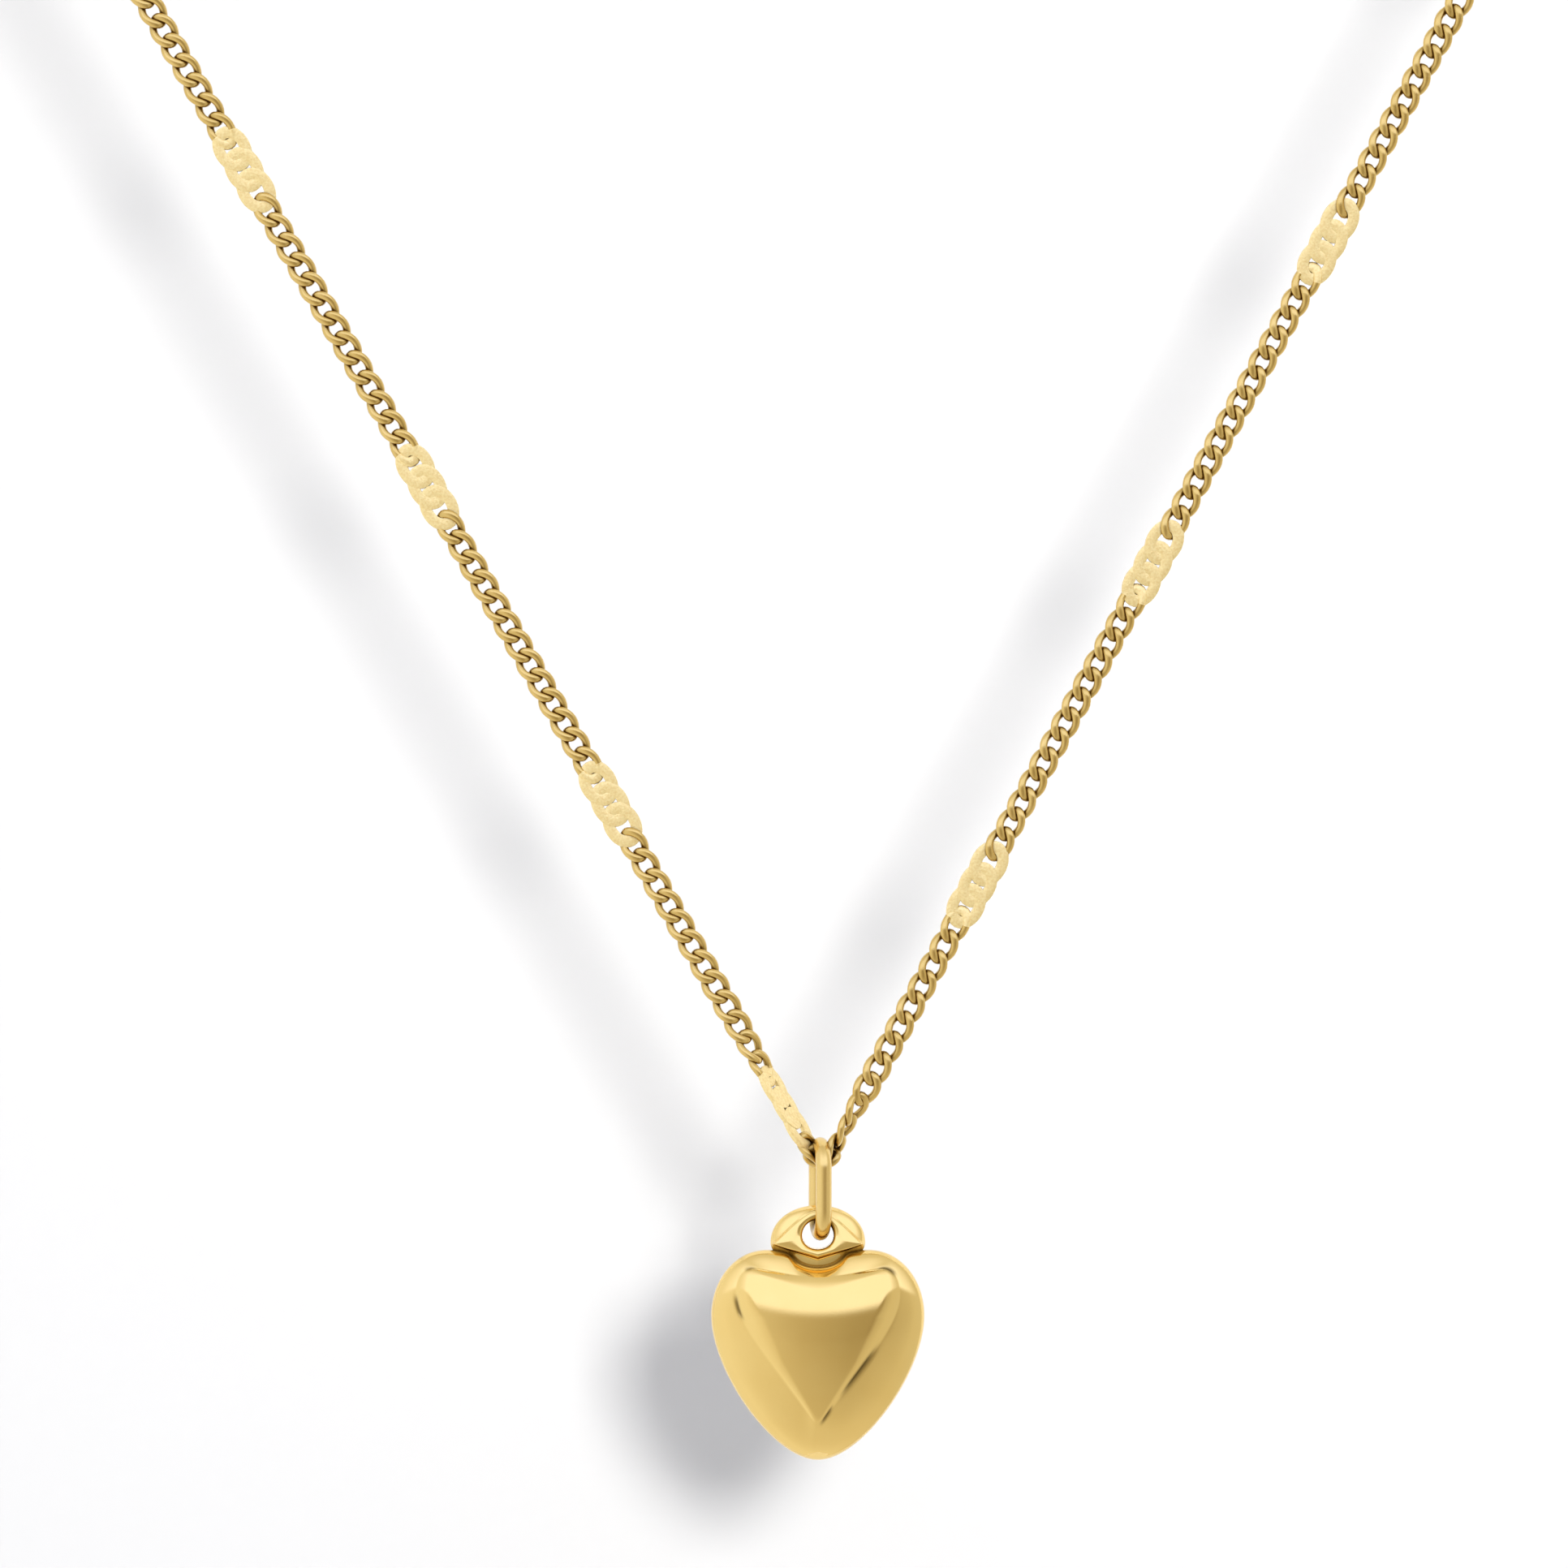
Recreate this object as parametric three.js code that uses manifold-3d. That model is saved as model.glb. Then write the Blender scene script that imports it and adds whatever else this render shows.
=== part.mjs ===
// A fine curb-chain necklace with flattened link stations and a hollow puffed heart.
// Millimetres. +Z is up, the front of the heart faces -Y.
// The origin is the top of the neck that the closed necklace hangs on.
import * as THREE from 'three';
import { mergeVertices } from 'three/addons/utils/BufferGeometryUtils.js';
import Module from 'manifold-3d';

const wasm = await Module();
wasm.setup();

// Chain
const CHAIN_WIDTH = 1.54;
const LINK_WIRE = 0.35;
const LINK_PITCH = 1.265;
const PIECE_GAP = 0.3;
const LEG_ANGLE_LEFT = 30;
const LEG_ANGLE_RIGHT = 28.6;

// Flattened stations of three links
const STATION_PERIOD = 20.67;
const STATION_WIDTH = 2.08;
const STATION_THICKNESS = 0.4;
const STATION_LINK_PITCH = 1.35;
const STATION_LINK_LENGTH = 2.2;
const STATION_LENGTH = 2 * STATION_LINK_PITCH + STATION_LINK_LENGTH;
const STATION_RING_CLEARANCE = 0.35;
const LEFT_FIRST_STATION = 23.87;
const RIGHT_FIRST_STATION = 18.35;

// Chain twist, in degrees: edge-on beside the ring, flat again, then flat on the neck
const TWIST_AT_RING_LEFT = 62;
const TWIST_AT_RING_RIGHT = 70;
const TWIST_FADE_LEFT = 12;
const TWIST_FADE_RIGHT = 6.5;
const NECK_TWIST = 90;
const NECK_TWIST_START = 88;
const NECK_TWIST_END = 150;

// Pendant ring
const RING_WIRE = 0.9;
const RING_LENGTH = 5.86;
const RING_PLAY_ON_CHAIN = 0.26;
const RING_WIDTH = CHAIN_WIDTH + 2 * RING_WIRE + RING_PLAY_ON_CHAIN;
const RING_TURN = 8.5;
const RING_SEAT = 0.08;
const RING_SHIFT = -0.1;

// Heart
const HEART_WIDTH = 12.04;
const HEART_HEIGHT = 11.86;
const HEART_DEPTH = 4.2;
const HEART_WALL = 0.35;
const HEART_SHIFT = -0.23;
const NOTCH_DEPTH = 0.96;
const NOTCH_WIDTH = 5.7;
const SEAM_GAP = 0.04;

// Lug
const LUG_PLAY = 0.42;
const LUG_HOLE_RADIUS = RING_WIRE / 2 + LUG_PLAY;
const LUG_HANG = 0.13;
const LUG_RIM = 0.82;
const LUG_THICKNESS = 1.0;
const LUG_RIM_BELOW_HOLE = 0.92;
const LUG_HOLE_ABOVE_HEART = LUG_HOLE_RADIUS + LUG_RIM_BELOW_HOLE - NOTCH_DEPTH;

// Clasp, its rings and the soldered end links
const CLASP_HEIGHT = 0.95;
const CLASP_THICKNESS = 1.8;
const HOOK_RADIUS = 3.1;
const HOOK_WIRE = 1.0;
const HOOK_HOLE_RADIUS = HOOK_RADIUS - HOOK_WIRE;
const BODY_LENGTH = 3.2;
const EYE_FROM_HOOK = HOOK_RADIUS + BODY_LENGTH;
const EYE_THICKNESS = 0.7;
const EYE_RIM = 0.6;
const LEVER_THICKNESS = 0.72;
const LEVER_CLEARANCE = 0.12;
const SPRING_THICKNESS = 0.33;
const PIN_RADIUS = 0.35;
const PIN_CLEARANCE = 0.05;
const CLASP_SLOT = LEVER_THICKNESS + SPRING_THICKNESS + 3 * PIN_CLEARANCE;
const RING_PLAY = 0.15;
const HOOK_PLAY = 0.4;
const END_RING_WIRE = 0.6;
const EYE_HOLE_RADIUS = END_RING_WIRE / 2 + HOOK_PLAY;
const EYE_RADIUS = EYE_HOLE_RADIUS + EYE_RIM;
const END_RING_RADIUS = EYE_RIM + EYE_THICKNESS + END_RING_WIRE / 2;
const CATCH_RING_WIRE = 0.7;
const CATCH_RING_RADIUS = HOOK_WIRE + CLASP_THICKNESS / 2 - 0.1 + CATCH_RING_WIRE / 2;
const END_LINK_WIRE = 0.4;
const END_LINK_RADIUS = 1.0;
const END_LINK_HEIGHT = 0.55;

// Routes of the two halves of the chain, from the pendant ring up round the neck to the clasp
const LEFT_ROUTE = [
  [1.3, 0, -156.95], [-8.7, 0, -139.63], [-18.7, 0, -122.31], [-28.7, 0, -104.99],
  [-38.7, 0, -87.67], [-45.03, 0, -76.7], [-48.86, 0, -68.49], [-51.21, 0, -59.73],
  [-52, 0, -50.7], [-51.21, 0, -41.67], [-48.86, 0, -32.91], [-45.03, 0, -24.7],
  [-39.83, 0, -17.27], [-33.42, 0, -10.87], [-26, 0, -5.67], [-17.79, 0, -1.84],
  [-10.2, 0, 0.29],
];
const RIGHT_ROUTE = [
  [1.3, 0, -156.95], [10.87, 0, -139.39], [20.45, 0, -121.83], [30.02, 0, -104.27],
  [39.6, 0, -86.71], [45.66, 0, -75.59], [48.86, 0, -68.49], [51.21, 0, -59.73],
  [52, 0, -50.7], [51.21, 0, -41.67], [48.86, 0, -32.91], [45.03, 0, -24.7],
  [39.83, 0, -17.27], [33.42, 0, -10.87], [26, 0, -5.67], [17.79, 0, -1.84],
  [8.85, 0, 0.54],
];

const GOLD = { color: 0xe3bd62, metalness: 1.0, roughness: 0.18 };
const CHAIN_GOLD = { color: 0xcfa650, metalness: 1.0, roughness: 0.28 };
const SATIN_GOLD = { color: 0xf4dc95, metalness: 1.0, roughness: 0.5 };
const CLASP_GOLD = { color: 0xd9b25a, metalness: 1.0, roughness: 0.22 };
const STEEL = { color: 0xb9bcc0, metalness: 1.0, roughness: 0.3 };

const necklace = new THREE.Group();

function addPiece(name, geometry, look, parent = necklace) {
  const mesh = new THREE.Mesh(geometry, new THREE.MeshStandardMaterial(look));
  mesh.name = name;
  parent.add(mesh);
  return mesh;
}

// ---- Solids ---------------------------------------------------------------

function toSolid(geometry) {
  const plain = geometry.index ? geometry.toNonIndexed() : geometry.clone();
  plain.deleteAttribute('normal');
  plain.deleteAttribute('uv');
  const merged = mergeVertices(plain, 1e-5);
  return new wasm.Manifold(new wasm.Mesh({
    numProp: 3,
    vertProperties: new Float32Array(merged.attributes.position.array),
    triVerts: new Uint32Array(merged.index.array),
  }));
}

function fromSolid(solid) {
  const { vertProperties, triVerts } = solid.getMesh();
  const geometry = new THREE.BufferGeometry();
  geometry.setAttribute('position', new THREE.BufferAttribute(new Float32Array(vertProperties), 3));
  geometry.setIndex(new THREE.BufferAttribute(new Uint32Array(triVerts), 1));
  return geometry;
}

// A shape in X and Y, made thick along Z and centred on z = 0
function plate(shape, thickness, curveSegments = 12) {
  const geometry = new THREE.ExtrudeGeometry(shape, {
    depth: thickness, bevelEnabled: false, curveSegments,
  });
  return geometry.translate(0, 0, -thickness / 2);
}

function drum(radius, height, x, y, segments = 28) {
  return new THREE.CylinderGeometry(radius, radius, height, segments)
    .rotateX(Math.PI / 2).translate(x, y, 0);
}

function outlineShape(points) {
  return new THREE.Shape(points.map(([x, y]) => new THREE.Vector2(x, y)));
}

// ---- Chain ----------------------------------------------------------------

function routeCurve(points) {
  const curve = new THREE.CatmullRomCurve3(points.map((p) => new THREE.Vector3(...p)), false, 'centripetal');
  curve.arcLengthDivisions = 2000;
  return curve;
}

function chainTube(curve, from, to) {
  const total = curve.getLength();
  const stepLength = 2.5 * CHAIN_WIDTH;
  const steps = Math.max(1, Math.round((to - from) / stepLength));
  const stops = [];
  for (let i = 0; i <= steps; i += 1) {
    stops.push(curve.getPointAt((from + (to - from) * i / steps) / total));
  }
  const path = steps === 1 ? new THREE.LineCurve3(stops[0], stops[1]) : new THREE.CatmullRomCurve3(stops);
  const section = new THREE.Shape();
  section.absarc(0, 0, CHAIN_WIDTH / 2, 0, 2 * Math.PI);
  return new THREE.ExtrudeGeometry(section, { steps, curveSegments: 4, extrudePath: path });
}

// Three flattened links in a row: three overlapping ellipses with a scalloped edge
function stationShape() {
  const a = STATION_LINK_LENGTH / 2;
  const b = STATION_WIDTH / 2;
  const meet = Math.acos(STATION_LINK_PITCH / 2 / a);
  const shape = new THREE.Shape();
  shape.absellipse(STATION_LINK_PITCH, 0, a, b, meet - Math.PI, Math.PI - meet);
  shape.absellipse(0, 0, a, b, meet, Math.PI - meet);
  shape.absellipse(-STATION_LINK_PITCH, 0, a, b, meet, 2 * Math.PI - meet);
  shape.absellipse(0, 0, a, b, Math.PI + meet, 2 * Math.PI - meet);
  return shape;
}

function smoothStep(value, from, to) {
  const t = THREE.MathUtils.clamp((value - from) / (to - from), 0, 1);
  return t * t * (3 - 2 * t);
}

function twistAt(distance, atRing, fade) {
  return atRing * (1 - smoothStep(distance, 0.4 * fade, fade))
    + NECK_TWIST * smoothStep(distance, NECK_TWIST_START, NECK_TWIST_END);
}

function placeOnChain(mesh, curve, distance, twist) {
  const u = distance / curve.getLength();
  const along = curve.getTangentAt(u);
  const back = new THREE.Vector3(0, 1, 0);
  const across = new THREE.Vector3().crossVectors(back, along);
  const turn = new THREE.Matrix4().makeBasis(along, across, back);
  mesh.quaternion.setFromRotationMatrix(turn);
  mesh.rotateX(THREE.MathUtils.degToRad(twist));
  mesh.position.copy(curve.getPointAt(u));
}

function buildHalf(side, route, stations, atRing, fade, start, trim) {
  const curve = routeCurve(route);
  const end = curve.getLength() - trim;
  let from = start;
  let segment = 1;
  stations(end - STATION_LENGTH / 2 - PIECE_GAP).forEach((distance, i) => {
    const to = distance - STATION_LENGTH / 2 - PIECE_GAP;
    if (to - from > CHAIN_WIDTH) {
      addPiece(`chain_${side}_${segment}`, chainTube(curve, from, to), CHAIN_GOLD);
      segment += 1;
    }
    const links = plate(stationShape(), STATION_THICKNESS, 5);
    const station = addPiece(`station_${side}_${i + 1}`, links, SATIN_GOLD);
    placeOnChain(station, curve, distance, twistAt(distance, atRing, fade));
    from = distance + STATION_LENGTH / 2 + PIECE_GAP;
  });
  if (end - from > CHAIN_WIDTH) {
    addPiece(`chain_${side}_${segment}`, chainTube(curve, from, end), CHAIN_GOLD);
  }
}

function stationsEvery(first, before = []) {
  return (last) => {
    const list = [...before];
    for (let at = first; at <= last; at += STATION_PERIOD) list.push(at);
    return list;
  };
}

// ---- Rings ----------------------------------------------------------------

// A wire ring in the YZ plane, stretched along Z by moving its halves apart
function wireRing(outerWidth, outerLength, wire, around = 28, sides = 10) {
  const geometry = new THREE.TorusGeometry((outerWidth - wire) / 2, wire / 2, sides, around);
  geometry.rotateZ(Math.PI / around).rotateY(Math.PI / 2);
  const stretch = (outerLength - outerWidth) / 2;
  const position = geometry.attributes.position;
  for (let i = 0; i < position.count; i += 1) {
    position.setZ(i, position.getZ(i) + Math.sign(position.getZ(i)) * stretch);
  }
  return geometry;
}

// Where the ring hangs on the chain, and the middle of its lower wire
const apex = new THREE.Vector3(...LEFT_ROUTE[0]);
const ringTop = apex.clone().add(new THREE.Vector3(RING_SHIFT, 0, RING_SEAT));
const ringStraight = RING_LENGTH - RING_WIDTH;
const ringBottom = ringTop.clone();
ringBottom.z -= ringStraight + (RING_WIDTH - RING_WIRE) / 2;

function buildPendantRing() {
  const link = addPiece('chain_middle_link',
    wireRing(CHAIN_WIDTH, LINK_PITCH + 2 * LINK_WIRE, LINK_WIRE, 20, 8), CHAIN_GOLD);
  link.rotation.y = Math.PI / 2;
  link.position.copy(ringTop);
  const ring = addPiece('pendant_ring', wireRing(RING_WIDTH, RING_LENGTH, RING_WIRE), GOLD);
  ring.rotation.z = THREE.MathUtils.degToRad(RING_TURN);
  ring.position.copy(ringTop);
  ring.position.z -= ringStraight / 2;
}

// ---- Heart ----------------------------------------------------------------

// Half of the heart's outline, from the notch to the tip, as three Bezier stretches.
// x is to the side and y is up, measured from the level of the shoulders.
function halfHeart() {
  const side = HEART_WIDTH / 2;
  const low = -HEART_HEIGHT;
  const curve = new THREE.Path();
  curve.moveTo(0, -NOTCH_DEPTH);
  curve.bezierCurveTo(0.25 * NOTCH_WIDTH, -0.85 * NOTCH_DEPTH, 0.4 * NOTCH_WIDTH, 0, 0.5 * NOTCH_WIDTH, 0);
  curve.bezierCurveTo(0.79 * side, 0, side, 0.148 * low, side, 0.312 * low);
  curve.bezierCurveTo(side, 0.582 * low, 0.415 * side, low, 0, low);
  return curve.getPoints(9);
}

function heartOutline() {
  const right = halfHeart();
  const left = right.slice(1, -1).reverse().map((p) => new THREE.Vector2(-p.x, p.y));
  return [...right, ...left];
}

// Levels of the relief from the rim to the middle: share of the outline, share of the depth
const RELIEF = [
  [1, 0], [0.985, 0.2], [0.945, 0.4], [0.885, 0.52], [0.84, 0.56], [0.79, 0.64],
  [0.68, 0.79], [0.5, 0.92], [0.28, 0.985], [0, 1],
];

function heartShell(sign) {
  const outline = heartOutline();
  const middle = new THREE.Vector2(0, -0.42 * HEART_HEIGHT);
  const depth = HEART_DEPTH / 2;
  const halfGap = SEAM_GAP / 2;
  const inset = 1 - HEART_WALL / (HEART_WIDTH / 2);
  const count = outline.length;
  const vertices = [];
  const levels = [];
  const addLevel = (share, y) => {
    if (share === 0) {
      levels.push([vertices.length / 3]);
      vertices.push(middle.x, sign * y, middle.y);
      return;
    }
    levels.push(outline.map((_, i) => vertices.length / 3 + i));
    outline.forEach((p) => {
      vertices.push(middle.x + (p.x - middle.x) * share, sign * y, middle.y + (p.y - middle.y) * share);
    });
  };
  [...RELIEF].reverse().forEach(([share, rise]) => {
    addLevel(share, halfGap + rise * (depth - halfGap));
  });
  RELIEF.forEach(([share, rise]) => {
    addLevel(share * inset, halfGap + rise * (depth - halfGap - HEART_WALL));
  });
  const faces = [];
  const face = (a, b, c) => faces.push(...(sign < 0 ? [a, c, b] : [a, b, c]));
  for (let k = 0; k + 1 < levels.length; k += 1) {
    const near = levels[k];
    const far = levels[k + 1];
    for (let i = 0; i < count; i += 1) {
      const j = (i + 1) % count;
      if (near.length === 1) face(near[0], far[i], far[j]);
      else if (far.length === 1) face(near[i], far[0], near[j]);
      else {
        face(near[i], far[i], far[j]);
        face(near[i], far[j], near[j]);
      }
    }
  }
  const geometry = new THREE.BufferGeometry();
  geometry.setAttribute('position', new THREE.Float32BufferAttribute(vertices, 3));
  geometry.setIndex(faces);
  return geometry;
}

// The tab that stands in the notch, with the hole that the ring passes through
function lugShape() {
  const hole = LUG_HOLE_ABOVE_HEART;
  const top = hole + LUG_HOLE_RADIUS + LUG_RIM;
  const foot = 0.47 * NOTCH_WIDTH;
  const footLevel = 2 * SEAM_GAP;
  const [steepX, flatX] = [0.25 * NOTCH_WIDTH, 0.36 * NOTCH_WIDTH];
  const steepY = SEAM_GAP - 0.8 * NOTCH_DEPTH;
  const shape = new THREE.Shape();
  shape.moveTo(0, SEAM_GAP - NOTCH_DEPTH);
  shape.bezierCurveTo(steepX, steepY, flatX, footLevel, foot, footLevel);
  shape.bezierCurveTo(foot, 0.75 * top, 0.55 * foot, top, 0, top);
  shape.bezierCurveTo(-0.55 * foot, top, -foot, 0.75 * top, -foot, footLevel);
  shape.bezierCurveTo(-flatX, footLevel, -steepX, steepY, 0, SEAM_GAP - NOTCH_DEPTH);
  const eye = new THREE.Path();
  eye.absarc(0, hole, LUG_HOLE_RADIUS, 0, 2 * Math.PI, true);
  shape.holes.push(eye);
  return shape;
}

function buildHeart() {
  const heart = new THREE.Group();
  heart.position.set(apex.x + HEART_SHIFT, 0, ringBottom.z - LUG_HANG - LUG_HOLE_ABOVE_HEART);
  necklace.add(heart);
  addPiece('heart_front_shell', heartShell(-1), GOLD, heart);
  addPiece('heart_back_shell', heartShell(1), GOLD, heart);
  addPiece('heart_lug', plate(lugShape(), LUG_THICKNESS, 9).rotateX(Math.PI / 2), GOLD, heart);
}

// ---- Clasp ----------------------------------------------------------------

// Where each piece of the fastening lies along X, from the middle of the hook
const linkInside = END_LINK_RADIUS - END_LINK_WIRE / 2;
const linkOutside = END_LINK_RADIUS + END_LINK_WIRE / 2;
const row = {};
row.claspRing = RING_PLAY + END_RING_WIRE / 2 - END_RING_RADIUS - EYE_FROM_HOOK - EYE_HOLE_RADIUS;
row.leftLink = row.claspRing - END_RING_RADIUS + END_RING_WIRE / 2 + RING_PLAY - linkInside;
row.catchRing = HOOK_HOLE_RADIUS - HOOK_PLAY - CATCH_RING_WIRE / 2 + CATCH_RING_RADIUS;
row.rightLink = row.catchRing + CATCH_RING_RADIUS - CATCH_RING_WIRE / 2 - RING_PLAY + linkInside;

// The fastening is centred between the two ends of the chain, which are cut where it needs the room
const leftEnd = LEFT_ROUTE.at(-1)[0];
const rightEnd = RIGHT_ROUTE.at(-1)[0];
const HOOK_X = (leftEnd + rightEnd - row.leftLink - row.rightLink) / 2;
const EYE_X = HOOK_X - EYE_FROM_HOOK;
const leftTrim = Math.max(0, leftEnd - (HOOK_X + row.leftLink - linkOutside - PIECE_GAP));
const rightTrim = Math.max(0, HOOK_X + row.rightLink + linkOutside + PIECE_GAP - rightEnd);

// The lever turns on a pin beside the hook's mouth, and its tip meets the nose on a circle round that pin
const pinX = HOOK_X - 0.71 * HOOK_RADIUS;
const pinY = 0.69 * HOOK_RADIUS;
const LEVER_REACH = 1.484 * HOOK_RADIUS;
const MOUTH_FROM = 0.02 * Math.PI;
const MOUTH_TO = 0.68 * Math.PI;

function claspBodyGeometry() {
  const neckShape = outlineShape([
    [EYE_X, -0.75], [HOOK_X - 0.84 * HOOK_RADIUS, -0.65 * HOOK_RADIUS],
    [HOOK_X - 0.39 * HOOK_RADIUS, -0.77 * HOOK_RADIUS], [HOOK_X - 0.13 * HOOK_RADIUS, 0],
    [HOOK_X - 0.29 * HOOK_RADIUS, 0.89 * HOOK_RADIUS], [HOOK_X - 0.87 * HOOK_RADIUS, 0.89 * HOOK_RADIUS],
    [EYE_X, 0.75],
  ]);
  const sector = outlineShape([
    [HOOK_X, 0],
    [HOOK_X + 9 * Math.cos(MOUTH_FROM), 9 * Math.sin(MOUTH_FROM)],
    [HOOK_X + 9, 9],
    [HOOK_X + 9 * Math.cos(MOUTH_TO), 9 * Math.sin(MOUTH_TO)],
  ]);
  const eyeTrim = outlineShape([
    [EYE_X - 2, -2], [EYE_X + EYE_RADIUS - 0.15, -2], [EYE_X + EYE_RADIUS - 0.15, 2], [EYE_X - 2, 2],
  ]);
  const slot = outlineShape([
    [pinX - 1.3, pinY - 1.05], [HOOK_X + 1.4, pinY - 1.05], [HOOK_X + 1.4, 5], [pinX - 1.3, 5],
  ]);
  const trimDepth = CLASP_THICKNESS;
  const mouth = toSolid(drum(LEVER_REACH, 2 * CLASP_THICKNESS, pinX, pinY, 64))
    .intersect(toSolid(plate(sector, 2 * CLASP_THICKNESS)));
  let solid = toSolid(drum(EYE_RADIUS, CLASP_THICKNESS, EYE_X, 0))
    .add(toSolid(plate(neckShape, CLASP_THICKNESS)))
    .add(toSolid(drum(HOOK_RADIUS, CLASP_THICKNESS, HOOK_X, 0, 40)));
  solid = solid.subtract(toSolid(drum(HOOK_HOLE_RADIUS, 2 * CLASP_THICKNESS, HOOK_X, 0, 36)));
  solid = solid.subtract(toSolid(drum(EYE_HOLE_RADIUS, 2 * CLASP_THICKNESS, EYE_X, 0, 20)));
  solid = solid.subtract(mouth).subtract(toSolid(plate(slot, CLASP_SLOT)));
  solid = solid.subtract(toSolid(drum(PIN_RADIUS, 2 * CLASP_THICKNESS, pinX, pinY, 16)));
  [1, -1].forEach((side) => {
    const trim = plate(eyeTrim, trimDepth).translate(0, 0, side * (EYE_THICKNESS + trimDepth) / 2);
    solid = solid.subtract(toSolid(trim));
  });
  return fromSolid(solid);
}

function leverGeometry() {
  const shape = new THREE.Shape();
  shape.absarc(HOOK_X, 0, HOOK_RADIUS, MOUTH_FROM, 0.62 * Math.PI, false);
  [[0.3, 1.7], [-1.0, 2.0], [-1.3, 1.3], [-0.8, 0.2], [-0.5, -0.6], [0.35, -0.75]].forEach(([x, y]) => {
    shape.lineTo(pinX + x, pinY + y);
  });
  shape.absarc(HOOK_X, 0, HOOK_HOLE_RADIUS + LEVER_CLEARANCE, 0.7 * Math.PI, MOUTH_FROM, true);
  const reach = drum(LEVER_REACH - LEVER_CLEARANCE, 2 * CLASP_THICKNESS, pinX, pinY, 64);
  const bore = drum(PIN_RADIUS + PIN_CLEARANCE, 2 * CLASP_THICKNESS, pinX, pinY, 20);
  const solid = toSolid(plate(shape, LEVER_THICKNESS, 20)).intersect(toSolid(reach)).subtract(toSolid(bore));
  return fromSolid(solid);
}

function buildClasp() {
  const clasp = new THREE.Group();
  clasp.position.z = CLASP_HEIGHT;
  necklace.add(clasp);
  addPiece('clasp_body', claspBodyGeometry(), CLASP_GOLD, clasp);
  const lever = addPiece('clasp_lever', leverGeometry(), CLASP_GOLD, clasp);
  lever.position.z = PIN_CLEARANCE + (LEVER_THICKNESS - CLASP_SLOT) / 2;
  const pin = drum(PIN_RADIUS - PIN_CLEARANCE / 2, CLASP_THICKNESS, pinX, pinY, 16);
  addPiece('clasp_pin', pin, CLASP_GOLD, clasp);
  const coil = new THREE.Shape();
  coil.absarc(0, 0, PIN_RADIUS + 0.3, 0, 2 * Math.PI, false);
  const coilHole = new THREE.Path();
  coilHole.absarc(0, 0, PIN_RADIUS + PIN_CLEARANCE, 0, 2 * Math.PI, true);
  coil.holes.push(coilHole);
  const spring = addPiece('clasp_spring', plate(coil, SPRING_THICKNESS, 12), STEEL, clasp);
  spring.position.set(pinX, pinY, (CLASP_SLOT - SPRING_THICKNESS) / 2 - PIN_CLEARANCE);
}

function uprightRing(radius, wire, x) {
  const outer = 2 * radius + wire;
  return wireRing(outer, outer, wire, 24, 8).rotateZ(Math.PI / 2).translate(x, 0, CLASP_HEIGHT);
}

function flatLink(x) {
  const outer = 2 * END_LINK_RADIUS + END_LINK_WIRE;
  return wireRing(outer, outer, END_LINK_WIRE, 20, 8).rotateY(Math.PI / 2).translate(x, 0, END_LINK_HEIGHT);
}

function buildEndRings() {
  addPiece('clasp_ring', uprightRing(END_RING_RADIUS, END_RING_WIRE, HOOK_X + row.claspRing), CLASP_GOLD);
  addPiece('chain_left_end_link', flatLink(HOOK_X + row.leftLink), CLASP_GOLD);
  addPiece('catch_ring', uprightRing(CATCH_RING_RADIUS, CATCH_RING_WIRE, HOOK_X + row.catchRing), CLASP_GOLD);
  addPiece('chain_right_end_link', flatLink(HOOK_X + row.rightLink), CLASP_GOLD);
}

const leftSine = Math.sin(THREE.MathUtils.degToRad(LEG_ANGLE_LEFT));
const rightSine = Math.sin(THREE.MathUtils.degToRad(LEG_ANGLE_RIGHT));
const leftStation = STATION_LENGTH / 2 + (RING_WIRE / 2 + STATION_RING_CLEARANCE) / leftSine;
const leftStart = (RING_WIRE + CHAIN_WIDTH) / 2 / leftSine;
const rightStart = (RING_WIRE + CHAIN_WIDTH) / 2 / rightSine;
buildHalf('left', LEFT_ROUTE, stationsEvery(LEFT_FIRST_STATION, [leftStation]),
  TWIST_AT_RING_LEFT, TWIST_FADE_LEFT, leftStart, leftTrim);
buildHalf('right', RIGHT_ROUTE, stationsEvery(RIGHT_FIRST_STATION),
  TWIST_AT_RING_RIGHT, TWIST_FADE_RIGHT, rightStart, rightTrim);
buildPendantRing();
buildHeart();
buildClasp();
buildEndRings();

export default necklace;
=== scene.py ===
import math

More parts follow.
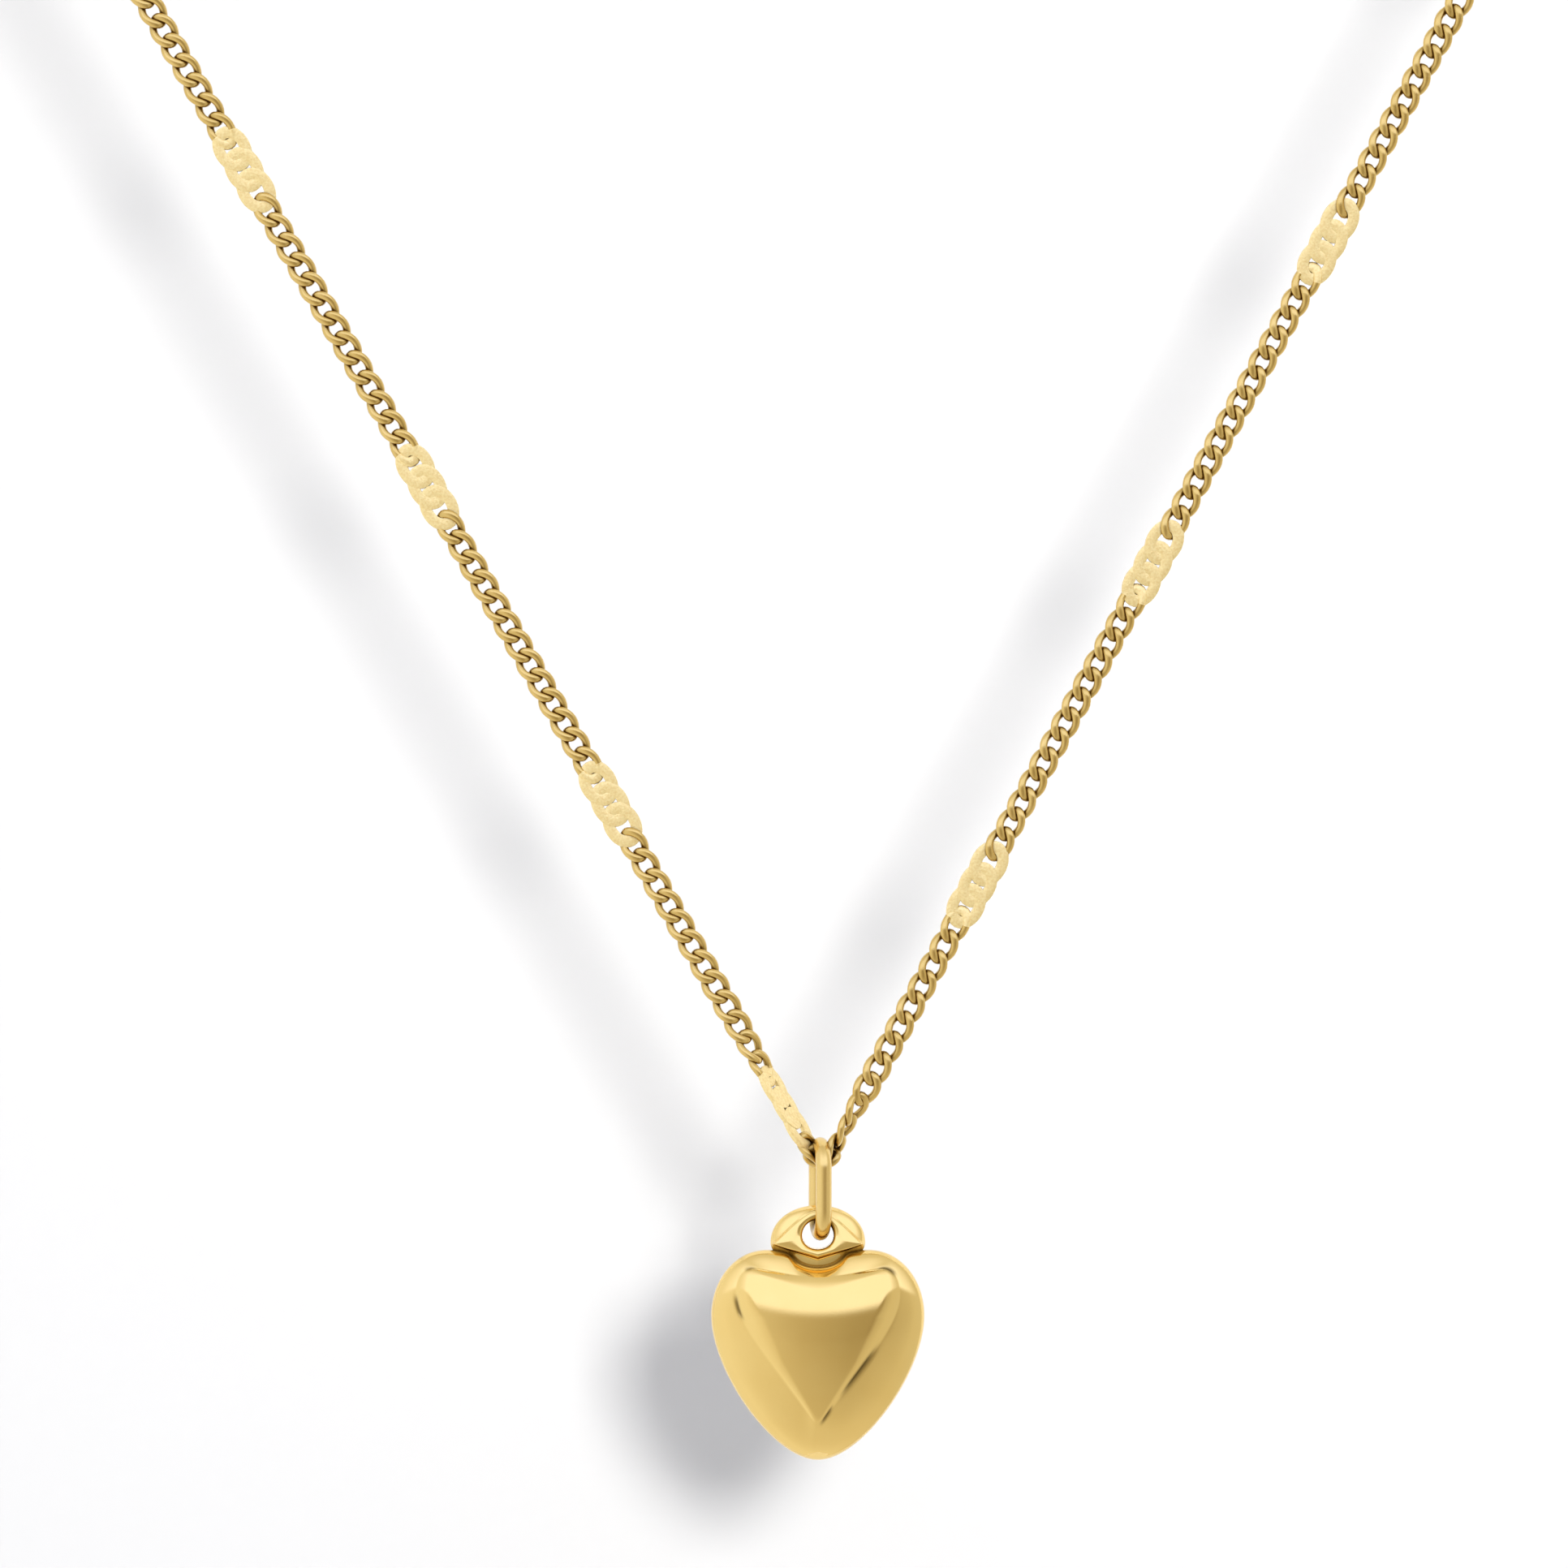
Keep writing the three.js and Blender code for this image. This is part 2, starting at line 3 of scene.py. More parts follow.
import bmesh
import bpy
import numpy as np
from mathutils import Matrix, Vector


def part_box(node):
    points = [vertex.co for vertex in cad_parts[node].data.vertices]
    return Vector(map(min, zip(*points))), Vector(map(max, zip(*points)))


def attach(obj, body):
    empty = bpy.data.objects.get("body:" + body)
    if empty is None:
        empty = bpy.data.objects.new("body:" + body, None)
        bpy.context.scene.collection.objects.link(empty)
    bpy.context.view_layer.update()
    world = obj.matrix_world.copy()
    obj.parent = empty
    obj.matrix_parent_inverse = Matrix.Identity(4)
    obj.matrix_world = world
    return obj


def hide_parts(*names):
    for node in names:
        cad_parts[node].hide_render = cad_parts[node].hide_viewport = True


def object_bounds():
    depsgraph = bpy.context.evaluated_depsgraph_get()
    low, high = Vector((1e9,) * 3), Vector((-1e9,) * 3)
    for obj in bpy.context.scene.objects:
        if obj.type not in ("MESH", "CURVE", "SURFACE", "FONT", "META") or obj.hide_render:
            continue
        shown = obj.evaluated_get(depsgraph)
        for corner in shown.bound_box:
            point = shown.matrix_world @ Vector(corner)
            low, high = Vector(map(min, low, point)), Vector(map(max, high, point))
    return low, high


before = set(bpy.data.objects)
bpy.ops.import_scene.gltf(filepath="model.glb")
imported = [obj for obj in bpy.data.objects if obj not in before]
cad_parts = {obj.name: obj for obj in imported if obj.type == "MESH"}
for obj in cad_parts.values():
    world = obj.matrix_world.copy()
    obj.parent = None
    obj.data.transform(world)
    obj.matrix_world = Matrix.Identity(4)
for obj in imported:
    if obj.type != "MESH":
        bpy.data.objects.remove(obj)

CAD_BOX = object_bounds()
MM = 0.001

# ---- Sizes in millimetres ---------------------------------------------------

CHAIN_WIDTH = 1.58
LINK_WIRE = 0.44
LINK_PITCH = 1.284
LINK_HOOK = 0.205
LINK_END_WIDTH = 0.5
LINK_TILT = 40
LINK_SOFT_LIMIT = 0.5
LINK_STEPS = 30
LINK_SIDES = 12
LINK_SMOOTH_ANGLE = 50
LINK_LEAN, FLAT_LEAN = 4, 1
MIDDLE_LINK_RISE = 0.82

STATION_PERIOD = 20.67
STATION_LINK_PITCH = 1.35
STATION_WIDTH = 2.08
FLAT_SIDE_WIDTH = 0.64
FLAT_END_WIDTH = 0.72
FLAT_THICKNESS = 0.3
FLAT_TILT = 2.6
FLAT_SOFT_LIMIT = 0.22
FLAT_GAP = 0.02
FLAT_SQUARENESS = 6
PRESSED_HOOK, PRESSED_TILT, PRESSED_WIDTH, PRESSED_THICKNESS = 0.3, 7, 0.66, 0.24
PRESSED_FROM = 0.35
LEFT_SEED, RIGHT_SEED = 7, 11
LEFT_STATIONS = (4.05, 23.87)
RIGHT_STATIONS = (18.35, 39.02)

TWIST_LEFT, FADE_LEFT = 62, 12
TWIST_RIGHT, FADE_RIGHT = 70, 6.5
NECK_TWIST, NECK_TWIST_START, NECK_TWIST_END = 90, 88, 150

# Routes of the chain's two halves, from the pendant ring up round the neck to the clasp
LEFT_ROUTE = [
    (1.3, 0, -156.95), (-8.7, 0, -139.63), (-18.7, 0, -122.31), (-28.7, 0, -104.99),
    (-38.7, 0, -87.67), (-45.03, 0, -76.7), (-48.86, 0, -68.49), (-51.21, 0, -59.73),
    (-52, 0, -50.7), (-51.21, 0, -41.67), (-48.86, 0, -32.91), (-45.03, 0, -24.7),
    (-39.83, 0, -17.27), (-33.42, 0, -10.87), (-26, 0, -5.67), (-17.79, 0, -1.84),
    (-10.2, 0, 0.29),
]
RIGHT_ROUTE = [
    (1.3, 0, -156.95), (10.87, 0, -139.39), (20.45, 0, -121.83), (30.02, 0, -104.27),
    (39.6, 0, -86.71), (45.66, 0, -75.59), (48.86, 0, -68.49), (51.21, 0, -59.73),
    (52, 0, -50.7), (51.21, 0, -41.67), (48.86, 0, -32.91), (45.03, 0, -24.7),
    (39.83, 0, -17.27), (33.42, 0, -10.87), (26, 0, -5.67), (17.79, 0, -1.84),
    (8.85, 0, 0.54),
]


# ---- Meshes -------------------------------------------------------------------

def box_mm(node):
    low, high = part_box(node)
    return np.array(low) / MM, np.array(high) / MM


def volume(vertices, faces):
    """Six times the volume inside closed four-cornered faces, negative when they face inward."""
    a, b, c, d = (vertices[np.array(faces)[:, k]] for k in range(4))
    return float((a * (np.cross(b, c) + np.cross(c, d))).sum())


def make_object(name, vertices, faces, materials, smooth_angle=180, material_index=None, closed=True):
    """A mesh object from points in millimetres, its faces turned outward when it is closed."""
    vertices = np.asarray(vertices, float)
    if closed and volume(vertices - vertices.mean(axis=0), faces) < 0:
        faces = [f[::-1] for f in faces]
    mesh = bpy.data.meshes.new(name)
    mesh.from_pydata((vertices * MM).tolist(), [], [list(map(int, f)) for f in faces])
    for material in materials:
        mesh.materials.append(material)
    if material_index is not None:
        mesh.polygons.foreach_set("material_index", material_index)
    mesh.polygons.foreach_set("use_smooth", [True] * len(mesh.polygons))
    if smooth_angle < 180:
        mesh.set_sharp_from_angle(angle=math.radians(smooth_angle))
    mesh.validate()
    obj = bpy.data.objects.new(name, mesh)
    bpy.context.scene.collection.objects.link(obj)
    return obj


def grid_faces(rows, columns, offset=0, close_rows=True, close_columns=True):
    """Quads of a grid of rows x columns points, wrapped round where it closes."""
    faces = []
    for i in range(rows if close_rows else rows - 1):
        for j in range(columns if close_columns else columns - 1):
            a, b = i * columns + j, i * columns + (j + 1) % columns
            c = ((i + 1) % rows) * columns + (j + 1) % columns
            d = ((i + 1) % rows) * columns + j
            faces.append((a + offset, b + offset, c + offset, d + offset))
    return faces


def tube_ring(centres, radius, sides):
    """A closed wire of round section along a closed line of points."""
    ahead = np.roll(centres, -1, axis=0) - np.roll(centres, 1, axis=0)
    ahead /= np.linalg.norm(ahead, axis=1)[:, None]
    out = centres - centres.mean(axis=0)
    out -= (out * ahead).sum(axis=1)[:, None] * ahead
    out /= np.linalg.norm(out, axis=1)[:, None]
    side = np.cross(ahead, out)
    angles = (np.arange(sides) * 2 * math.pi / sides)[None, :, None]
    ring = out[:, None] * np.cos(angles) + side[:, None] * np.sin(angles)
    return (centres[:, None] + radius * ring).reshape(-1, 3)


# ---- Chain --------------------------------------------------------------------

def smooth_step(value, start, end):
    t = min(1.0, max(0.0, (value - start) / (end - start)))
    return t * t * (3 - 2 * t)


def smooth_route(points, steps=60):
    """The route as a dense line: a centripetal Catmull-Rom curve through the points."""
    p = [np.array(q, float) for q in points]
    p = [2 * p[0] - p[1]] + p + [2 * p[-1] - p[-2]]
    line = []
    for i in range(1, len(p) - 2):
        knots = [0.0]
        for a, b in zip(p[i - 1:i + 2], p[i:i + 3]):
            knots.append(knots[-1] + math.sqrt(np.linalg.norm(b - a)))
        for t in np.linspace(knots[1], knots[2], steps, endpoint=False):
            level = list(p[i - 1:i + 3])
            for width in (1, 2, 3):
                level = [
                    ((knots[j + width] - t) * level[j] + (t - knots[j]) * level[j + 1])
                    / (knots[j + width] - knots[j])
                    for j in range(len(level) - 1)
                ]
            line.append(level[0])
    line.append(p[-2])
    return np.array(line)


class ChainHalf:
    """One half of the chain: where a link at a distance from the ring stands and how it is turned."""

    def __init__(self, route, twist, fade):
        self.line = smooth_route(route)
        steps = np.linalg.norm(np.diff(self.line, axis=0), axis=1)
        self.reach = np.concatenate([[0], np.cumsum(steps)])
        self.length = self.reach[-1]
        self.twist, self.fade = twist, fade

    def point(self, distance):
        return np.array([np.interp(distance, self.reach, self.line[:, k]) for k in range(3)])

    def twist_at(self, distance):
        near = self.twist * (1 - smooth_step(distance, 0.4 * self.fade, self.fade))
        return near + NECK_TWIST * smooth_step(distance, NECK_TWIST_START, NECK_TWIST_END)

    def place(self, local, distance, half_length, lean=0.0):
        """Moves points given as along, across, back to the chain at a distance from the ring."""
        start, end = self.point(distance - half_length), self.point(distance + half_length)
        if distance < half_length:
            start = self.point(0)
        along = (end - start) / np.linalg.norm(end - start)
        back = np.array([0.0, 1.0, 0.0])
        across = np.cross(back, along)
        angle = math.radians(self.twist_at(distance) + lean)
        turned_across = math.cos(angle) * across + math.sin(angle) * back
        turned_back = math.cos(angle) * back - math.sin(angle) * across
        return (self.point(distance) + local[:, :1] * along + local[:, 1:2] * turned_across
                + local[:, 2:3] * turned_back)


class LinkEnd:
    """One end of a link: its reach from the middle, lean out of the chain's plane, and section."""

    def __init__(self, reach, tilt, width, thickness):
        self.reach, self.tilt, self.width, self.thickness = reach, tilt, width, thickness


WIRE_END = LinkEnd(LINK_PITCH / 2 + LINK_HOOK, LINK_TILT, LINK_END_WIDTH, LINK_WIRE)
PRESSED_END = LinkEnd(LINK_PITCH / 2 + PRESSED_HOOK, PRESSED_TILT, PRESSED_WIDTH, PRESSED_THICKNESS)
FLAT_REACH = STATION_LINK_PITCH + FLAT_GAP - FLAT_END_WIDTH / 2
FLAT_END = LinkEnd(FLAT_REACH, FLAT_TILT, FLAT_END_WIDTH, FLAT_THICKNESS)


def link_mesh(upper, lower, outer_width, side_width, side_thickness, soft_limit, squareness):
    """A curb link: an oval ring whose two ends lean opposite ways, with a section that may change."""
    t = np.arange(LINK_STEPS) * 2 * math.pi / LINK_STEPS
    up = np.cos(t) > 0
    end_share = np.cos(t) ** 2

    def ends(name):
        return np.where(up, getattr(upper, name), getattr(lower, name))

    turn = -np.radians(ends("tilt")) * np.cos(t)
    side = (outer_width - side_width) / 2 * np.sin(t)
    centres = np.stack([ends("reach") * np.cos(t), side * np.cos(turn), side * np.sin(turn)], axis=1)
    ahead = np.roll(centres, -1, axis=0) - np.roll(centres, 1, axis=0)
    ahead /= np.linalg.norm(ahead, axis=1)[:, None]
    out = centres - (centres * ahead).sum(axis=1)[:, None] * ahead
    out /= np.linalg.norm(out, axis=1)[:, None]
    face = np.cross(ahead, out)
    width = side_width + (ends("width") - side_width) * end_share
    thickness = side_thickness + (ends("thickness") - side_thickness) * end_share
    round_angle = np.arange(LINK_SIDES) * 2 * math.pi / LINK_SIDES
    power = 2 / squareness
    c = np.sign(np.cos(round_angle)) * np.abs(np.cos(round_angle)) ** power
    f = np.sign(np.sin(round_angle)) * np.abs(np.sin(round_angle)) ** power
    points = (centres[:, None] + out[:, None] * (width[:, None] / 2 * c)[..., None]
              + face[:, None] * (thickness[:, None] / 2 * f)[..., None]).reshape(-1, 3)
    points[:, 2] = soft_limit * np.tanh(points[:, 2] / soft_limit)
    return points, grid_faces(LINK_STEPS, LINK_SIDES)


def wire_link(upper=WIRE_END, lower=WIRE_END):
    return link_mesh(upper, lower, CHAIN_WIDTH, LINK_WIRE, LINK_WIRE, LINK_SOFT_LIMIT, 2)


def flat_link():
    return link_mesh(FLAT_END, FLAT_END, STATION_WIDTH, FLAT_SIDE_WIDTH, FLAT_THICKNESS, FLAT_SOFT_LIMIT,
                     FLAT_SQUARENESS)


def station_distances(first, half):
    stations = list(first)
    end = half.length - 2 * STATION_LINK_PITCH
    while stations[-1] + STATION_PERIOD <= end:
        stations.append(stations[-1] + STATION_PERIOD)
    return stations


def link_places(stations, start, end, pressed_under_stations):
    """Distances of the wire links, each with whether its upper and lower end was pressed with a station.

    A station's stamp also caught the end of one wire link, on the same side of every station of the chain.
    """
    places = []
    for number, station in enumerate(stations + [None]):
        after = end if station is None else station - STATION_LINK_PITCH
        count = max(1, round((after - start) / LINK_PITCH))
        for k in range(1, count + (station is None)):
            above = pressed_under_stations and station is not None and k == count - 1
            below = not pressed_under_stations and number > 0 and k == 1
            places.append((start + (after - start) * k / count, above, below))
        if station is not None:
            start = station + STATION_LINK_PITCH
    return places


def pressed_faces(above, below):
    """The look of each face of a wire link: 1, satin, on an end that was pressed, and else 0."""
    height = np.cos((np.arange(LINK_STEPS) + 0.5) * 2 * math.pi / LINK_STEPS)
    satin = (above & (height > PRESSED_FROM)) | (below & (height < -PRESSED_FROM))
    return np.repeat(satin.astype(int), LINK_SIDES).tolist()


def build_chain_half(name, half, first_stations, seed, with_middle_link, pressed_under_stations):
    """One half of the chain as a mesh of separate closed links, with chain gold and satin looks."""
    rng = np.random.default_rng(seed)
    vertices, faces, looks = [], [], []

    def add(mesh, points, face_looks):
        offset = sum(len(v) for v in vertices)
        vertices.append(points)
        faces.extend([[i + offset for i in f] for f in mesh[1]])
        looks.extend(face_looks)

    plain_look, flat_look = pressed_faces(False, False), [1] * (LINK_STEPS * LINK_SIDES)
    if with_middle_link:
        plain_link = wire_link()
        laid = plain_link[0][:, (0, 2, 1)] * np.array([1, -1, 1])
        add(plain_link, laid + half.point(0) + np.array([0, 0, MIDDLE_LINK_RISE]), plain_look)
    stations = station_distances(first_stations, half)
    chain_end = half.length - LINK_PITCH / 2
    for distance, above, below in link_places(stations, 0.0, chain_end, pressed_under_stations):
        wire = wire_link(PRESSED_END if above else WIRE_END, PRESSED_END if below else WIRE_END)
        points = half.place(wire[0], distance, LINK_PITCH / 2, rng.uniform(-LINK_LEAN, LINK_LEAN))
        add(wire, points, pressed_faces(above, below))
    flat = flat_link()
    for station in stations:
        for k in (-1, 0, 1):
            at = station + k * STATION_LINK_PITCH
            lean = rng.uniform(-FLAT_LEAN, FLAT_LEAN)
            add(flat, half.place(flat[0], at, STATION_LINK_PITCH / 2, lean), flat_look)
    return make_object(name, np.concatenate(vertices), faces, [CHAIN_GOLD, SATIN], LINK_SMOOTH_ANGLE, looks)


# ---- Rings ----------------------------------------------------------------------

RING_STEPS = 40
PENDANT_RING_TURN = 8.5
PENDANT_RING_WIRE, CLASP_RING_WIRE, CATCH_RING_WIRE, END_LINK_WIRE = 0.9, 0.6, 0.7, 0.4

def stadium(width, length, count):
    """A long round-ended loop in y and z, centred on the origin."""
    radius, straight = width / 2, length - width
    half_turn = np.linspace(0, math.pi, count)
    top = [(radius * math.cos(v), straight / 2 + radius * math.sin(v)) for v in half_turn]
    sides = [(-radius, straight * (0.5 - s)) for s in (0.25, 0.5, 0.75)]
    left = top + sides
    return np.array(left + [(-y, -z) for y, z in left])


def build_ring(name, node, wire, material, plane, sides, turn_degrees=0):
    """A ring of round wire that fills its node's box, in one plane or turned about the vertical."""
    low, high = box_mm(node)
    size = high - low - wire
    if plane == "YZ":
        turn = math.radians(turn_degrees)
        loop = stadium(size[1] / math.cos(turn), size[2], RING_STEPS)
        across = loop[:, 0]
        centres = np.stack([-math.sin(turn) * across, math.cos(turn) * across, loop[:, 1]], axis=1)
    elif plane == "XZ":
        loop = stadium(size[0], size[2], RING_STEPS)
        centres = np.stack([loop[:, 0], np.zeros(len(loop)), loop[:, 1]], axis=1)
    else:
        loop = stadium(size[1], size[0], RING_STEPS)
        centres = np.stack([loop[:, 1], loop[:, 0], np.zeros(len(loop))], axis=1)
    points = tube_ring(centres, wire / 2, sides) + (low + high) / 2
    return make_object(name, points, grid_faces(len(centres), sides), [material])


# ---- Heart ----------------------------------------------------------------------

NOTCH_DEPTH, NOTCH_WIDTH = 0.96, 5.7
HEART_LOW, HEART_HIGH = box_mm("heart_front_shell")
HEART_SIDE = (HEART_HIGH[0] - HEART_LOW[0]) / 2
HEART_HEIGHT = HEART_HIGH[2] - HEART_LOW[2]
HEART_DEPTH = -HEART_LOW[1]
HEART_X = (HEART_HIGH[0] + HEART_LOW[0]) / 2
SHOULDER_Z = HEART_HIGH[2]
LUG_LOW, LUG_HIGH = box_mm("heart_lug")
LUG_TOP = LUG_HIGH[2] - SHOULDER_Z
LUG_HALF_WIDTH = (LUG_HIGH[0] - LUG_LOW[0]) / 2
LUG_HOLE_Z, LUG_HOLE_RADIUS, LUG_HOLE_FLATTENING = 0.83, 0.87, 0.13
LUG_STEPS = 200
LUG_LIP, LUG_LEAN, LUG_DROP, LUG_DROP_SLOPE = 0.3, 0.15, 0.16, 1.6


def bezier(a, b, c, d, count):
    t = np.linspace(0, 1, count, endpoint=False)[:, None]
    a, b, c, d = map(np.array, (a, b, c, d))
    return (1 - t) ** 3 * a + 3 * (1 - t) ** 2 * t * b + 3 * (1 - t) * t ** 2 * c + t ** 3 * d


def mirrored(half):
    """Closes an outline from its right half, which starts and ends on x = 0."""
    left = half[1:-1][::-1] * np.array([-1, 1])
    return np.concatenate([half, left])


def even(points, count):
    """The same closed line with evenly spaced points, starting at the first."""
    closed = np.concatenate([points, points[:1]])
    reach = np.concatenate([[0], np.cumsum(np.linalg.norm(np.diff(closed, axis=0), axis=1))])
    at = np.linspace(0, reach[-1], count, endpoint=False)
    return np.stack([np.interp(at, reach, closed[:, k]) for k in range(2)], axis=1)


def heart_outline(count):
    side, low = HEART_SIDE, -HEART_HEIGHT
    shoulder = (0.5 * NOTCH_WIDTH, 0)
    half = np.concatenate([
        bezier((0, -NOTCH_DEPTH), (0.75, -NOTCH_DEPTH), (1.25, -0.66), (1.6, -0.24), 50),
        bezier((1.6, -0.24), (1.78, -0.02), (2.2, 0), shoulder, 30),
        bezier(shoulder, (0.79 * side, 0), (side, 0.148 * low), (side, 0.312 * low), 60),
        bezier((side, 0.312 * low), (side, 0.582 * low), (0.415 * side, low), (0, low), 90),
        [(0, low)],
    ])
    return even(mirrored(half), count)


def panel_outline(count):
    """The raised middle of the heart: a shield with two upper corners and a tip."""
    half = np.concatenate([
        bezier((0, -1.5), (1.3, -1.46), (2.5, -1.15), (3.5, -1.0), 40),
        bezier((3.5, -1.0), (4.3, -0.9), (4.66, -1.7), (4.6, -2.6), 40),
        bezier((4.6, -2.6), (4.5, -4.2), (2.6, -6.2), (0.5, -9.2), 60),
        bezier((0.5, -9.2), (0.3, -9.5), (0.15, -9.7), (0, -9.72), 12),
        [(0, -9.72)],
    ])
    return even(mirrored(half), count)


def ray_angles(count):
    """Even directions round a middle, in radians, starting straight up."""
    return np.arange(count) * 2 * math.pi / count + math.pi / 2


def rays(count):
    return np.stack([np.cos(ray_angles(count)), np.sin(ray_angles(count))], axis=1)


def matched(outline, middle, count):
    """An outline's reach from a middle in even directions, so that outlines can be blended."""
    rel = outline - middle
    own = np.unwrap(np.arctan2(rel[:, 1], rel[:, 0]))
    if own[-1] < own[0]:
        own, rel = own[::-1], rel[::-1]
    own = np.concatenate([own - 2 * math.pi, own, own + 2 * math.pi])
    radius = np.tile(np.linalg.norm(rel, axis=1), 3)
    return np.interp(ray_angles(count), own, radius)


HEART_MIDDLE = np.array([0.0, -4.3])
CREASE_SHADE_MASK = "dark_line"
BAND_PROFILE = ((0, 0), (0, 0.5), (0.3, 0.68), (1, 1))
# Along the raised middle's edge, from its tip to its top: height, pillow width and drop to the crease
EDGE_Z = (-9.7, -6.6, -3.6, -1.0)
PILLOW_EDGE = (0.4, 0.6, 1.45, 0.7)
CREASE_DROP = (0.08, 0.17, 0.34, 0.22)
DOME_TOP_Z, DOME_TOP_CURVE = -5.1, 0.035
DOME_FALL_ABOVE, DOME_LENGTH_ABOVE = 0.45, 3.3
DOME_FALL_BELOW, DOME_LENGTH_BELOW = 0.5, 5.0
DOME_FALL_SIDE, DOME_HALF_WIDTH = 0.55, 4.6
DOME_POWER, PILLOW_POWER = 1.8, 2.0
CREASE_SMOOTHING = 9
HALF_GIRTH_SEAM = 0.02
OUTLINE_STEPS, HEART_STEPS = 2400, 320
BAND_ROWS, INNER_ROWS, INSIDE_ROWS = 44, 60, 8
INNER_ROW_POWER = 1.3
INSIDE_STEP, INSIDE_DEPTH, INSIDE_ROUNDNESS = 0.35, 0.6, 0.6
GROOVE_WIDTH, GROOVE_INNER_SHARE, GROOVE_DEPTH = 0.14, 1.4, 0.006
# Where the line round the raised middle is pressed deeper and given painted shade, a dark line standing in for
# shade in the crease:
# x, z, reach along the line, extra depth, darkness of the painted shade
GROOVE_MARKS = [
    (2.3, -6.75, 1.45, 0.045, 0.95),
    (0.5, -9.2, 0.5, 0.04, 0.9),
    (-4.5, -3.2, 0.62, 0.04, 0.85),
    (-3.8, -1.0, 0.28, 0.03, 0.55),
    (3.9, -1.05, 0.55, 0.045, 0.9),
]


def dome_rise(x, z):
    """Height of the raised middle's smooth dome above the girth plane."""
    top = DOME_TOP_Z + DOME_TOP_CURVE * x ** 2
    above = np.maximum(z - top, 0) / DOME_LENGTH_ABOVE
    below = np.maximum(top - z, 0) / DOME_LENGTH_BELOW
    along = DOME_FALL_ABOVE * above ** DOME_POWER + DOME_FALL_BELOW * below ** DOME_POWER
    return HEART_DEPTH - along - DOME_FALL_SIDE * (x / DOME_HALF_WIDTH) ** 2


def groove(distance, edge):
    """Depth of the fine line pressed in round the raised middle, and darkness of the painted shade along it."""
    depth, dark = np.full(len(edge), GROOVE_DEPTH), np.zeros(len(edge))
    for x, z, reach, extra, darkness in GROOVE_MARKS:
        share = np.exp(-(np.hypot(edge[:, 0] - x, edge[:, 1] - z) / reach) ** 4)
        depth += extra * share
        dark += darkness * share
    across = np.exp(-(distance / GROOVE_WIDTH) ** 2)
    return depth * across, dark * across


def heart_shell(name, sign, material):
    """One half of the heart: a band that rises to a crease, the raised middle, and a closed inside."""
    count = HEART_STEPS
    outer = matched(heart_outline(OUTLINE_STEPS), HEART_MIDDLE, count)
    panel = matched(panel_outline(OUTLINE_STEPS), HEART_MIDDLE, count)
    ray = rays(count)
    edge = HEART_MIDDLE + ray * panel[:, None]
    pillow = np.interp(edge[:, 1], EDGE_Z, PILLOW_EDGE)
    crease = dome_rise(edge[:, 0], edge[:, 1]) - np.interp(edge[:, 1], EDGE_Z, CREASE_DROP)
    near = range(-CREASE_SMOOTHING, CREASE_SMOOTHING + 1)
    crease = sum(np.roll(crease, k) for k in near) / len(near)
    rows, darkness = [], []

    def add_row(reach, rise, from_line=np.inf):
        depth, dark = groove(np.zeros(count) + from_line, edge)
        rise = rise - depth
        darkness.append(dark)
        flat = HEART_MIDDLE + ray * reach[:, None]
        rows.append(np.stack([flat[:, 0], sign * (HALF_GIRTH_SEAM + rise), flat[:, 1]], axis=1))

    for share, rise in bezier(*BAND_PROFILE, BAND_ROWS):
        add_row(outer + (panel - outer) * share, crease * rise, (1 - share) * (outer - panel))
    for v in np.linspace(0, 1, INNER_ROWS) ** INNER_ROW_POWER:
        reach = panel * (1 - v)
        flat = HEART_MIDDLE + ray * reach[:, None]
        inside = np.minimum((panel - reach) / pillow, 1)
        dome = dome_rise(flat[:, 0], flat[:, 1])
        drop = (dome_rise(edge[:, 0], edge[:, 1]) - crease) * (1 - inside) ** PILLOW_POWER
        add_row(reach, dome - drop, GROOVE_INNER_SHARE * (panel - reach))
    for v in np.linspace(math.pi / 2, 0, INSIDE_ROWS):
        add_row((outer - INSIDE_STEP) * math.cos(v) ** INSIDE_ROUNDNESS,
                np.full(count, INSIDE_DEPTH * HEART_DEPTH * math.sin(v)))
    points = np.concatenate(rows) + np.array([HEART_X, 0, SHOULDER_Z])
    obj = make_object(name, points, grid_faces(len(rows), count), [material])
    # painted shade along the crease line round the raised middle, kept per point
    dark = obj.data.attributes.new(CREASE_SHADE_MASK, "FLOAT", "POINT")
    dark.data.foreach_set("value", np.concatenate(darkness))
    bm = bmesh.new()
    bm.from_mesh(obj.data)
    bmesh.ops.remove_doubles(bm, verts=bm.verts, dist=1e-7)
    bmesh.ops.recalc_face_normals(bm, faces=bm.faces)
    bm.to_mesh(obj.data)
    bm.free()
    return obj


